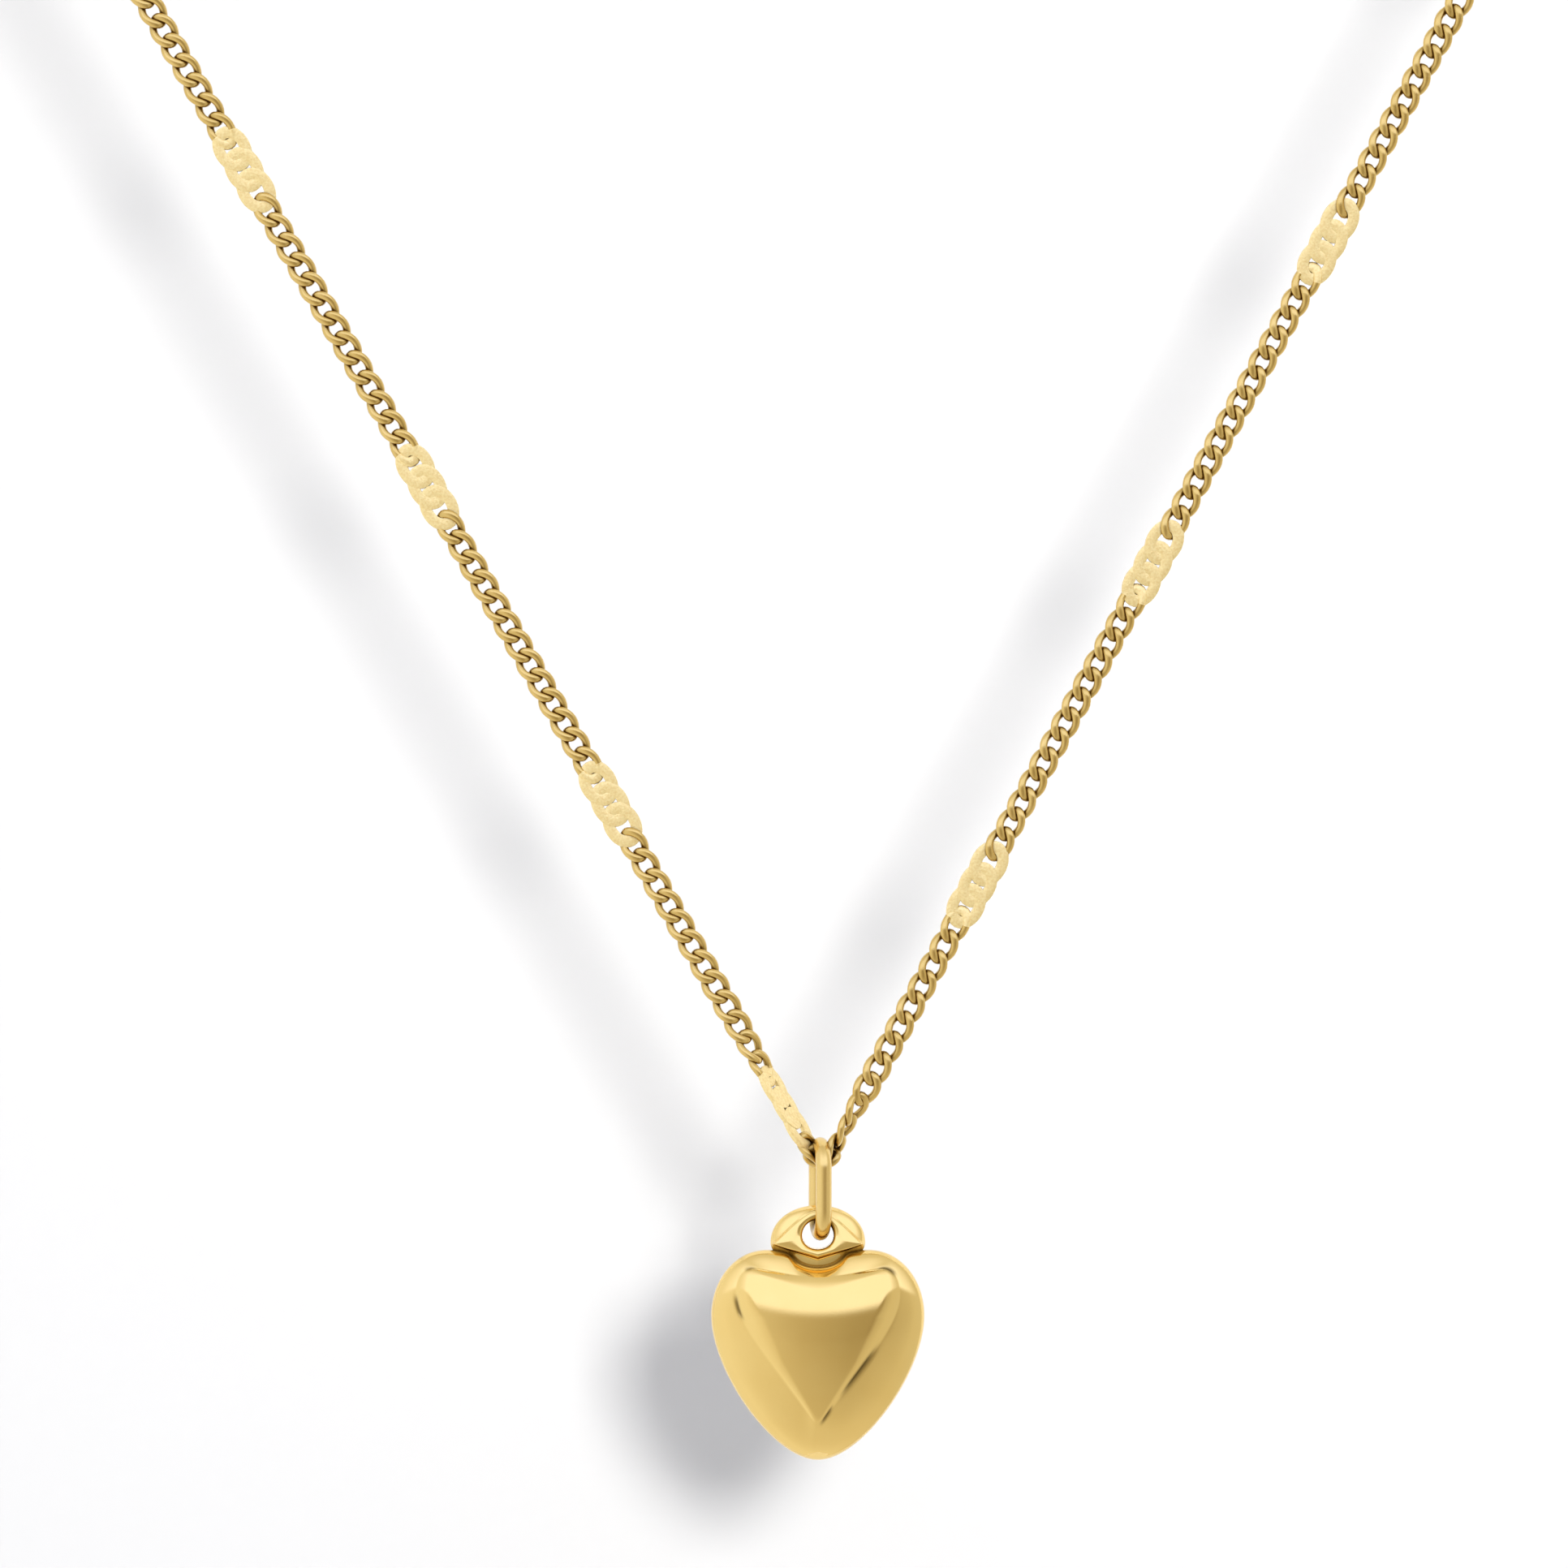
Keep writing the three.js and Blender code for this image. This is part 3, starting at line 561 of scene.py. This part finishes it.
def build_lug(material):
    """The tab between the heart's shoulders: an almond-shaped front with the ring's hole, on a round tab."""
    middle = np.array([0.0, LUG_HOLE_Z])
    foot, top = LUG_HALF_WIDTH, LUG_TOP
    tab = even(mirrored(np.concatenate([
        bezier((0, top), (0.55 * foot, top), (foot, 0.66 * top), (foot, 0.4), 50),
        bezier((foot, 0.4), (foot, 0.1), (0.93 * foot, -0.15), (0.76 * foot, -0.55), 30),
        bezier((0.76 * foot, -0.55), (0.55 * foot, -1.3), (0.3 * foot, -1.7), (0, -1.7), 40),
        [(0, -1.7)],
    ])), OUTLINE_STEPS // 2)
    eye = even(mirrored(np.concatenate([
        bezier((0, top - 0.25), (0.8, top - 0.3), (1.6, 1.15), (2.52, 0.36), 50),
        bezier((2.52, 0.36), (1.7, 0.04), (0.8, -0.14), (0, -0.4), 50),
        [(0, -0.4)],
    ])), OUTLINE_STEPS // 2)
    ray = rays(LUG_STEPS)
    tab, eye = matched(tab, middle, LUG_STEPS), matched(eye, middle, LUG_STEPS)
    hole = LUG_HOLE_RADIUS - LUG_HOLE_FLATTENING * np.clip(-ray[:, 1], 0, 1) ** 2
    lip = np.minimum(hole + LUG_LIP, (hole + eye) / 2)
    drop = LUG_DROP * np.clip(-LUG_DROP_SLOPE * ray[:, 1], 0, 1)

    def face(reach, rise):
        """A point of the front face, which leans so that it looks slightly upward."""
        return reach, rise - LUG_LEAN * reach * ray[:, 1]

    # Reach from the middle and rise of the front, from the hole's wall over the lip to the tab's rim
    half = [
        (hole, 0.0), (hole, 0.4), face(hole + 0.02, 0.62), face(hole + 0.07, 0.74),
        face(0.4 * hole + 0.6 * lip, 0.8), face(lip, 0.82), face(0.7 * lip + 0.3 * eye, 0.82),
        face(0.3 * lip + 0.7 * eye, 0.8), face(eye - 0.07, 0.78), face(eye, 0.74), (eye + 0.04, 0.58 - drop),
        (0.85 * eye + 0.15 * tab, 0.54 - drop), (0.6 * eye + 0.4 * tab, 0.47 - drop),
        (0.3 * eye + 0.7 * tab, 0.36 - drop), (tab - 0.1, 0.24 - 0.5 * drop), (tab - 0.01, 0.12), (tab, 0.0),
    ]
    profile = [(r, -y) for r, y in half] + [(r, y) for r, y in half[-2:0:-1]]
    rows = []
    for r, y in profile:
        flat = middle + ray * np.broadcast_to(r, LUG_STEPS)[:, None]
        rows.append(np.stack([flat[:, 0], np.broadcast_to(y, LUG_STEPS), flat[:, 1]], axis=1))
    points = np.concatenate(rows) + np.array([HEART_X, 0, SHOULDER_Z])
    obj = make_object("lug", points, grid_faces(len(rows), LUG_STEPS), [material])
    smooth = obj.modifiers.new("round", "SUBSURF")
    smooth.levels = smooth.render_levels = 1
    return obj


# ---- Clasp ----------------------------------------------------------------------

BODY_VOXEL, BODY_ROUNDING = 0.07, 14
LEVER_VOXEL, LEVER_ROUNDING, LEVER_PLAY = 0.05, 24, 0.08
SPRING_WIRE, SPRING_TURNS, SPRING_STEPS = 0.1, 2.5, 70

def rounded_copy(name, node, material, voxel_mm, passes, inset_mm=0.0):
    """The node's shape with cast, tumbled edges: remeshed finely, smoothed, and inset where it needs play."""
    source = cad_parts[node]
    mesh = source.data.copy()
    mesh.materials.clear()
    mesh.materials.append(material)
    mesh.transform(source.matrix_world)
    points = np.empty(len(mesh.vertices) * 3)
    mesh.vertices.foreach_get("co", points)
    mesh.vertices.foreach_set("co", points / MM)
    obj = bpy.data.objects.new(name, mesh)
    bpy.context.scene.collection.objects.link(obj)
    weld = obj.modifiers.new("weld", "WELD")
    weld.merge_threshold = 1e-4
    remesh = obj.modifiers.new("remesh", "REMESH")
    remesh.mode = "VOXEL"
    remesh.voxel_size = voxel_mm
    soften = obj.modifiers.new("soften", "SMOOTH")
    soften.factor, soften.iterations = 0.5, passes
    if inset_mm:
        inset = obj.modifiers.new("inset", "DISPLACE")
        inset.mid_level = 0
        inset.strength = -inset_mm
    done = bpy.data.meshes.new_from_object(obj.evaluated_get(bpy.context.evaluated_depsgraph_get()))
    obj.modifiers.clear()
    obj.data = done
    points = np.empty(len(done.vertices) * 3)
    done.vertices.foreach_get("co", points)
    done.vertices.foreach_set("co", points * MM)
    done.polygons.foreach_set("use_smooth", [True] * len(done.polygons))
    done.update()
    done.materials.clear()
    done.materials.append(material)
    return obj


def build_spring(material):
    low, high = box_mm("clasp_spring")
    middle = (low + high) / 2
    radius = (high[0] - low[0]) / 2 - 0.6 * SPRING_WIRE
    t = np.linspace(0, 1, SPRING_STEPS)
    angle = t * SPRING_TURNS * 2 * math.pi
    rise = (t - 0.5) * (high[2] - low[2] - 1.1 * SPRING_WIRE)
    line = np.stack([radius * np.cos(angle), radius * np.sin(angle), rise], axis=1) + middle
    curve = bpy.data.curves.new("torsion_spring", "CURVE")
    curve.dimensions = "3D"
    curve.bevel_depth = SPRING_WIRE / 2 * MM
    curve.bevel_resolution = 3
    curve.use_fill_caps = True
    spline = curve.splines.new("POLY")
    spline.points.add(SPRING_STEPS - 1)
    spline.points.foreach_set("co", np.concatenate([line * MM, np.ones((SPRING_STEPS, 1))], axis=1).ravel())
    curve.materials.append(material)
    obj = bpy.data.objects.new("torsion_spring", curve)
    bpy.context.scene.collection.objects.link(obj)
    return obj


# ---- Materials --------------------------------------------------------------------

# painted shade, partly patina, in crevices found by ambient occlusion
CREVICE_SHADE_AND_PATINA = (0.16, 0.09, 0.015)
# painted shade along the heart's crease line
CREASE_SHADE_COLOUR = (0.09, 0.055, 0.012)
CREVICE_SPAN, CREVICE_SAMPLES = 0.55, 6
CLOUD_DETAIL, CLOUD_START, CLOUD_END = 4.0, 0.3, 0.7
GRAIN_DETAIL, GRAIN_HEIGHT = 3.0, 0.02


def mixed_colour(nodes, links, factor, a, b):
    """A mix of two colours, each given as a fixed colour or as the output of a node."""
    node = nodes.new("ShaderNodeMix")
    node.data_type = "RGBA"
    links.new(factor, node.inputs["Factor"])
    for socket, colour in ((node.inputs["A"], a), (node.inputs["B"], b)):
        if isinstance(colour, tuple):
            socket.default_value = (*colour, 1)
        else:
            links.new(colour, socket)
    return node.outputs["Result"]


def noise(nodes, links, where, scale, detail):
    node = nodes.new("ShaderNodeTexNoise")
    node.inputs["Scale"].default_value = scale
    node.inputs["Detail"].default_value = detail
    links.new(where.outputs["Object"], node.inputs["Vector"])
    return node.outputs["Fac"]


def shade_and_patina_colour(nodes, links, colour, crevice, crevice_floor):
    """The colour with painted shade, partly patina, in crevices up to a distance in millimetres, and painted
    shade where a line was pressed.
    """
    # ambient occlusion darkens crevices: painted shade, partly patina
    shade = nodes.new("ShaderNodeAmbientOcclusion")
    shade.samples = CREVICE_SAMPLES
    shade.inputs["Distance"].default_value = crevice * MM
    spread = nodes.new("ShaderNodeMapRange")
    spread.inputs["From Min"].default_value = crevice_floor
    spread.inputs["From Max"].default_value = crevice_floor + CREVICE_SPAN
    links.new(shade.outputs["AO"], spread.inputs["Value"])
    # painted shade along the heart's crease line
    line = nodes.new("ShaderNodeAttribute")
    line.attribute_name = CREASE_SHADE_MASK
    shaded = mixed_colour(nodes, links, spread.outputs["Result"], CREVICE_SHADE_AND_PATINA, colour)
    return mixed_colour(nodes, links, line.outputs["Fac"], shaded, CREASE_SHADE_COLOUR)


def metal(name, colour, deep, roughness, rough_spread, grain_scale, grain_strength,
          cloud_scale=500, crevice=0.0, crevice_floor=0.25, metallic=1.0):
    """Gold plate: cloudy colour from deep to colour, uneven gloss and a fine grain in the bump, and with a
    crevice distance painted shade, partly patina, in its crevices.
    """
    material = bpy.data.materials.new(name)
    material.use_nodes = True
    nodes, links = material.node_tree.nodes, material.node_tree.links
    shader = nodes["Principled BSDF"]
    shader.inputs["Metallic"].default_value = metallic
    where = nodes.new("ShaderNodeTexCoord")
    tint = nodes.new("ShaderNodeValToRGB")
    stops = tint.color_ramp.elements
    stops[0].position, stops[1].position = CLOUD_START, CLOUD_END
    stops[0].color, stops[1].color = (*deep, 1), (*colour, 1)
    links.new(noise(nodes, links, where, cloud_scale, CLOUD_DETAIL), tint.inputs["Fac"])
    surface = tint.outputs["Color"]
    if crevice:
        surface = shade_and_patina_colour(nodes, links, surface, crevice, crevice_floor)
    links.new(surface, shader.inputs["Base Color"])
    grain = noise(nodes, links, where, grain_scale, GRAIN_DETAIL)
    gloss = nodes.new("ShaderNodeMapRange")
    gloss.inputs["To Min"].default_value = roughness - rough_spread
    gloss.inputs["To Max"].default_value = roughness + rough_spread
    links.new(grain, gloss.inputs["Value"])
    links.new(gloss.outputs["Result"], shader.inputs["Roughness"])
    bump = nodes.new("ShaderNodeBump")
    bump.inputs["Strength"].default_value = grain_strength
    bump.inputs["Distance"].default_value = GRAIN_HEIGHT * MM
    links.new(grain, bump.inputs["Height"])
    links.new(bump.outputs["Normal"], shader.inputs["Normal"])
    return material


def plain(name, colour, roughness):
    material = bpy.data.materials.new(name)
    material.use_nodes = True
    shader = material.node_tree.nodes["Principled BSDF"]
    shader.inputs["Base Color"].default_value = (*colour, 1)
    shader.inputs["Roughness"].default_value = roughness
    return material


# ---- Stage, light and camera --------------------------------------------------------

VIEW_WIDTH = 88.5
VIEW_MIDDLE = (-0.84, -135.15)
CAMERA_DISTANCE = 560


def build_camera():
    data = bpy.data.cameras.new("camera")
    data.sensor_width = 36
    data.lens = 36 * CAMERA_DISTANCE / VIEW_WIDTH
    data.clip_start = 0.01
    data.clip_end = 20
    camera = bpy.data.objects.new("camera", data)
    camera.location = Vector((VIEW_MIDDLE[0], -CAMERA_DISTANCE, VIEW_MIDDLE[1])) * MM
    camera.rotation_euler = (math.radians(90), 0, 0)
    bpy.context.scene.collection.objects.link(camera)
    bpy.context.scene.camera = camera


FLOOR_Z = CAD_BOX[0][2] / MM - 14
FLOOR_HALF_SIZE = 1500
CARD_Y, CARD_LEFT, CARD_RIGHT, CARD_TOP = 27, -130, 130, 60
BOWL_MIDDLE_Z = SHOULDER_Z - 0.45 * HEART_HEIGHT
BOWL_HALF_TURN, BOWL_STEPS = 130, 48
BOWL_LOW = FLOOR_Z + 1 - BOWL_MIDDLE_Z
BOWL_RINGS = [(5, BOWL_LOW), (40, 0.95 * BOWL_LOW), (600, 30)]


def build_floor():
    size = FLOOR_HALF_SIZE
    corners = [(-size, -size, FLOOR_Z), (size, -size, FLOOR_Z), (size, size, FLOOR_Z), (-size, size, FLOOR_Z)]
    material = plain("floor", (0.8, 0.8, 0.8), 0.8)
    return make_object("floor", corners, [(0, 1, 2, 3)], [material], closed=False)


def build_card():
    """A white card behind the heart that is clear from the back."""
    material = plain("card", (0.5, 0.495, 0.48), 0.9)
    nodes, links = material.node_tree.nodes, material.node_tree.links
    clear = nodes.new("ShaderNodeBsdfTransparent")
    facing = nodes.new("ShaderNodeNewGeometry")
    mix = nodes.new("ShaderNodeMixShader")
    links.new(facing.outputs["Backfacing"], mix.inputs["Fac"])
    links.new(nodes["Principled BSDF"].outputs["BSDF"], mix.inputs[1])
    links.new(clear.outputs["BSDF"], mix.inputs[2])
    links.new(mix.outputs["Shader"], nodes["Material Output"].inputs["Surface"])
    corners = [(CARD_LEFT, CARD_Y, FLOOR_Z), (CARD_RIGHT, CARD_Y, FLOOR_Z),
               (CARD_RIGHT, CARD_Y, CARD_TOP), (CARD_LEFT, CARD_Y, CARD_TOP)]
    return make_object("card", corners, [(0, 1, 2, 3)], [material], closed=False)


def build_bowl():
    """An open bowl with the tent's light, seen only in reflections, that hides the floor from them."""
    material = bpy.data.materials.new("bowl")
    material.use_nodes = True
    nodes, links = material.node_tree.nodes, material.node_tree.links
    where = nodes.new("ShaderNodeTexCoord")
    toward = nodes.new("ShaderNodeVectorMath")
    toward.operation = "NORMALIZE"
    links.new(where.outputs["Object"], toward.inputs["Vector"])
    glow = nodes.new("ShaderNodeEmission")
    links.new(tent_colour(nodes, links, toward.outputs["Vector"]), glow.inputs["Color"])
    links.new(glow.outputs["Emission"], nodes["Material Output"].inputs["Surface"])
    turn = np.radians(np.linspace(-BOWL_HALF_TURN, BOWL_HALF_TURN, BOWL_STEPS))
    points = np.concatenate([
        np.stack([r * np.sin(turn), -r * np.cos(turn), np.full(BOWL_STEPS, z)], axis=1) for r, z in BOWL_RINGS])
    faces = grid_faces(len(BOWL_RINGS), BOWL_STEPS, close_rows=False, close_columns=False)
    bowl = make_object("bowl", points, faces, [material], closed=False)
    bowl.location = Vector((HEART_X, 0, BOWL_MIDDLE_Z)) * MM
    bowl.visible_camera = bowl.visible_diffuse = bowl.visible_shadow = False
    return bowl


KEY_PLACE, KEY_TARGET = (88, -420, -90), (0, 0, -135)
KEY_SIZE, KEY_POWER = 75, 2.3


def build_key_light():
    """A square light in front on the right, not seen in reflections."""
    data = bpy.data.lights.new("key", "AREA")
    data.shape = "SQUARE"
    data.size = KEY_SIZE * MM
    data.energy = KEY_POWER
    light = bpy.data.objects.new("key", data)
    light.location = Vector(KEY_PLACE) * MM
    aim = Vector(KEY_TARGET) * MM - light.location
    light.rotation_euler = aim.to_track_quat("-Z", "Y").to_euler()
    light.visible_glossy = False
    bpy.context.scene.collection.objects.link(light)


# The tent's colours at angles in degrees. Along the horizon, from behind on the left through the front:
AROUND = [
    (-180, (0.9, 0.9, 0.9)), (-100, (0.98, 1.0, 1.03)), (-50, (0.97, 0.97, 0.95)), (-26, (0.84, 0.81, 0.73)),
    (-6, (0.60, 0.55, 0.44)), (12, (0.45, 0.40, 0.29)), (27, (0.41, 0.36, 0.26)), (38, (0.60, 0.56, 0.46)),
    (56, (0.72, 0.69, 0.60)), (100, (0.76, 0.74, 0.68)), (180, (0.9, 0.9, 0.9)),
]
# By height, overhead in front (a soft box, then a dimmer ceiling), overhead elsewhere, and below:
ABOVE_FRONT = [
    (0, (1.22, 1.29, 1.6)), (38, (1.22, 1.29, 1.6)), (66, (0.84, 0.83, 0.8)), (90, (0.74, 0.72, 0.66)),
]
ABOVE_SIDE = [(0, (0.92, 0.92, 0.92)), (90, (0.74, 0.72, 0.66))]
BELOW_RIGHT = [(-80, (0.92, 0.9, 0.84)), (-55, (0.80, 0.76, 0.66)), (-25, (0.72, 0.68, 0.57))]
BELOW_LEFT = [(-90, (0.95, 0.94, 0.9)), (-20, (0.93, 0.92, 0.87))]
# Shares of each, by height and then by direction along the horizon:
FRONT_STEP = [(11, 0.0), (14, 1.0)]
SIDE_STEP = [(20, 0.0), (60, 1.0)]
BELOW_STEP = [(-42, 1.0), (-2, 0.0)]
IN_FRONT = [(-80, 0.0), (-45, 1.0), (50, 1.0), (85, 0.0)]
ON_LEFT = [(-180, 1.0), (-65, 1.0), (-22, 0.0), (150, 0.0), (180, 1.0)]


def tent_colour(nodes, links, direction):
    """A tent's colour by direction: bright above the front and on the left, dimmer and warmer in front."""

    def sum_node(operation, *values):
        node = nodes.new("ShaderNodeMath")
        node.operation = operation
        for socket, value in zip(node.inputs, values):
            if isinstance(value, (int, float)):
                socket.default_value = value
            else:
                links.new(value, socket)
        return node.outputs["Value"]

    def ramp(source, stops):
        """Colours at angles in degrees from -180 to 180."""
        share = sum_node("MULTIPLY_ADD", source, 0.5 / math.pi, 0.5)
        node = nodes.new("ShaderNodeValToRGB")
        while len(node.color_ramp.elements) < len(stops):
            node.color_ramp.elements.new(0.5)
        for element, (angle, colour) in zip(node.color_ramp.elements, stops):
            element.position = angle / 360 + 0.5
            element.color = (*colour, 1) if isinstance(colour, tuple) else (colour, colour, colour, 1)
        links.new(share, node.inputs["Fac"])
        return node.outputs["Color"]

    def mix(factor, a, b):
        return mixed_colour(nodes, links, factor, a, b)

    split = nodes.new("ShaderNodeSeparateXYZ")
    links.new(direction, split.inputs["Vector"])
    toward = sum_node("MULTIPLY", split.outputs["Y"], -1.0)
    azimuth = sum_node("ARCTAN2", split.outputs["X"], toward)
    elevation = sum_node("ARCSINE", split.outputs["Z"])
    in_front = ramp(azimuth, IN_FRONT)
    above = mix(in_front, ramp(elevation, ABOVE_SIDE), ramp(elevation, ABOVE_FRONT))
    below = mix(ramp(azimuth, ON_LEFT), ramp(elevation, BELOW_RIGHT), ramp(elevation, BELOW_LEFT))
    step = mix(in_front, ramp(elevation, SIDE_STEP), ramp(elevation, FRONT_STEP))
    level = mix(step, ramp(azimuth, AROUND), above)
    return mix(ramp(elevation, BELOW_STEP), level, below)


BACKDROP_COLOUR = (0.95, 0.95, 0.95)


def build_world():
    """The tent's light on the object, and a plain pale backdrop for the camera."""
    world = bpy.data.worlds.new("tent")
    world.use_nodes = True
    bpy.context.scene.world = world
    nodes, links = world.node_tree.nodes, world.node_tree.links
    where = nodes.new("ShaderNodeTexCoord")
    path = nodes.new("ShaderNodeLightPath")
    tent = tent_colour(nodes, links, where.outputs["Generated"])
    seen = mixed_colour(nodes, links, path.outputs["Is Camera Ray"], tent, BACKDROP_COLOUR)
    links.new(seen, nodes["Background"].inputs["Color"])


# ---- Assembly -------------------------------------------------------------------------

build_camera()
floor, card, bowl = build_floor(), build_card(), build_bowl()
build_world()
build_key_light()

# crevice: reach in millimetres of the painted shade, partly patina, in crevices
POLISHED = metal("polished_gold", (0.93, 0.68, 0.26), (0.91, 0.655, 0.24),
                 roughness=0.075, rough_spread=0.02, grain_scale=9000, grain_strength=0.015, crevice=0.6)
CHAIN_GOLD = metal("chain_gold", (0.81, 0.58, 0.215), (0.72, 0.50, 0.165),
                   roughness=0.2, rough_spread=0.06, grain_scale=14000, grain_strength=0.12,
                   crevice=0.7, crevice_floor=0.4)
SATIN = metal("satin_gold", (0.98, 0.82, 0.43), (0.86, 0.65, 0.29),
              roughness=0.42, rough_spread=0.1, grain_scale=11000, grain_strength=1.0,
              cloud_scale=7000, crevice=0.2, metallic=0.88)
RING_GOLD = metal("ring_gold", (0.88, 0.64, 0.25), (0.84, 0.60, 0.22),
                  roughness=0.22, rough_spread=0.05, grain_scale=9000, grain_strength=0.05, crevice=0.6)
CLASP_GOLD = metal("clasp_gold", (0.90, 0.65, 0.26), (0.84, 0.59, 0.21),
                   roughness=0.16, rough_spread=0.04, grain_scale=9000, grain_strength=0.06)
STEEL = metal("spring_steel", (0.55, 0.56, 0.58), (0.42, 0.43, 0.45),
              roughness=0.3, rough_spread=0.08, grain_scale=20000, grain_strength=0.1)

left_half = ChainHalf(LEFT_ROUTE, TWIST_LEFT, FADE_LEFT)
right_half = ChainHalf(RIGHT_ROUTE, TWIST_RIGHT, FADE_RIGHT)
left_chain = build_chain_half("left_chain", left_half, LEFT_STATIONS, LEFT_SEED,
                              with_middle_link=True, pressed_under_stations=False)
right_chain = build_chain_half("right_chain", right_half, RIGHT_STATIONS, RIGHT_SEED,
                               with_middle_link=False, pressed_under_stations=True)

pendant_ring = build_ring("pendant_ring_visual", "pendant_ring", PENDANT_RING_WIRE, RING_GOLD, "YZ", 28,
                          PENDANT_RING_TURN)
front = heart_shell("front_shell", -1, POLISHED)
back = heart_shell("back_shell", 1, POLISHED)
lug = build_lug(POLISHED)
clasp_body = rounded_copy("lobster_body", "clasp_body", CLASP_GOLD, BODY_VOXEL, BODY_ROUNDING)
clasp_lever = rounded_copy("lobster_lever", "clasp_lever", CLASP_GOLD, LEVER_VOXEL, LEVER_ROUNDING,
                           LEVER_PLAY)
spring = build_spring(STEEL)
clasp_ring = build_ring("clasp_ring_visual", "clasp_ring", CLASP_RING_WIRE, CLASP_GOLD, "XZ", 20)
catch_ring = build_ring("catch_ring_visual", "catch_ring", CATCH_RING_WIRE, CLASP_GOLD, "XZ", 20)
left_end = build_ring("left_end_link_visual", "chain_left_end_link", END_LINK_WIRE, CLASP_GOLD, "XY", 16)
right_end = build_ring("right_end_link_visual", "chain_right_end_link", END_LINK_WIRE, CLASP_GOLD, "XY", 16)
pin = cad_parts["clasp_pin"]
pin.data.materials.clear()
pin.data.materials.append(CLASP_GOLD)

chain_nodes = [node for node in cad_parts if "end_link" not in node]
left_nodes = [node for node in chain_nodes if "_left_" in node] + ["chain_middle_link"]
right_nodes = [node for node in chain_nodes if "_right_" in node]
for piece, body, slot_name, nodes in (
    (left_chain, "chain", "chain_gold", left_nodes),
    (right_chain, "chain", "chain_gold", right_nodes),
    (left_end, "chain", "clasp_gold", ["chain_left_end_link"]),
    (right_end, "chain", "clasp_gold", ["chain_right_end_link"]),
    (pendant_ring, "pendant_ring", "polished_gold", ["pendant_ring"]),
    (front, "heart", "polished_gold", ["heart_front_shell"]),
    (back, "heart", "polished_gold", ["heart_back_shell"]),
    (lug, "heart", "polished_gold", ["heart_lug"]),
    (clasp_ring, "clasp_ring", "clasp_gold", ["clasp_ring"]),
    (clasp_body, "clasp", "clasp_gold", ["clasp_body"]),
    (spring, "clasp", "spring_steel", ["clasp_spring"]),
    (clasp_lever, "clasp_lever", "clasp_gold", ["clasp_lever"]),
    (catch_ring, "catch_ring", "clasp_gold", ["catch_ring"]),
):
    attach(piece, body)
    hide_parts(*nodes)

bpy.context.scene.view_settings.view_transform = "Standard"
bpy.context.scene.view_settings.look = "None"
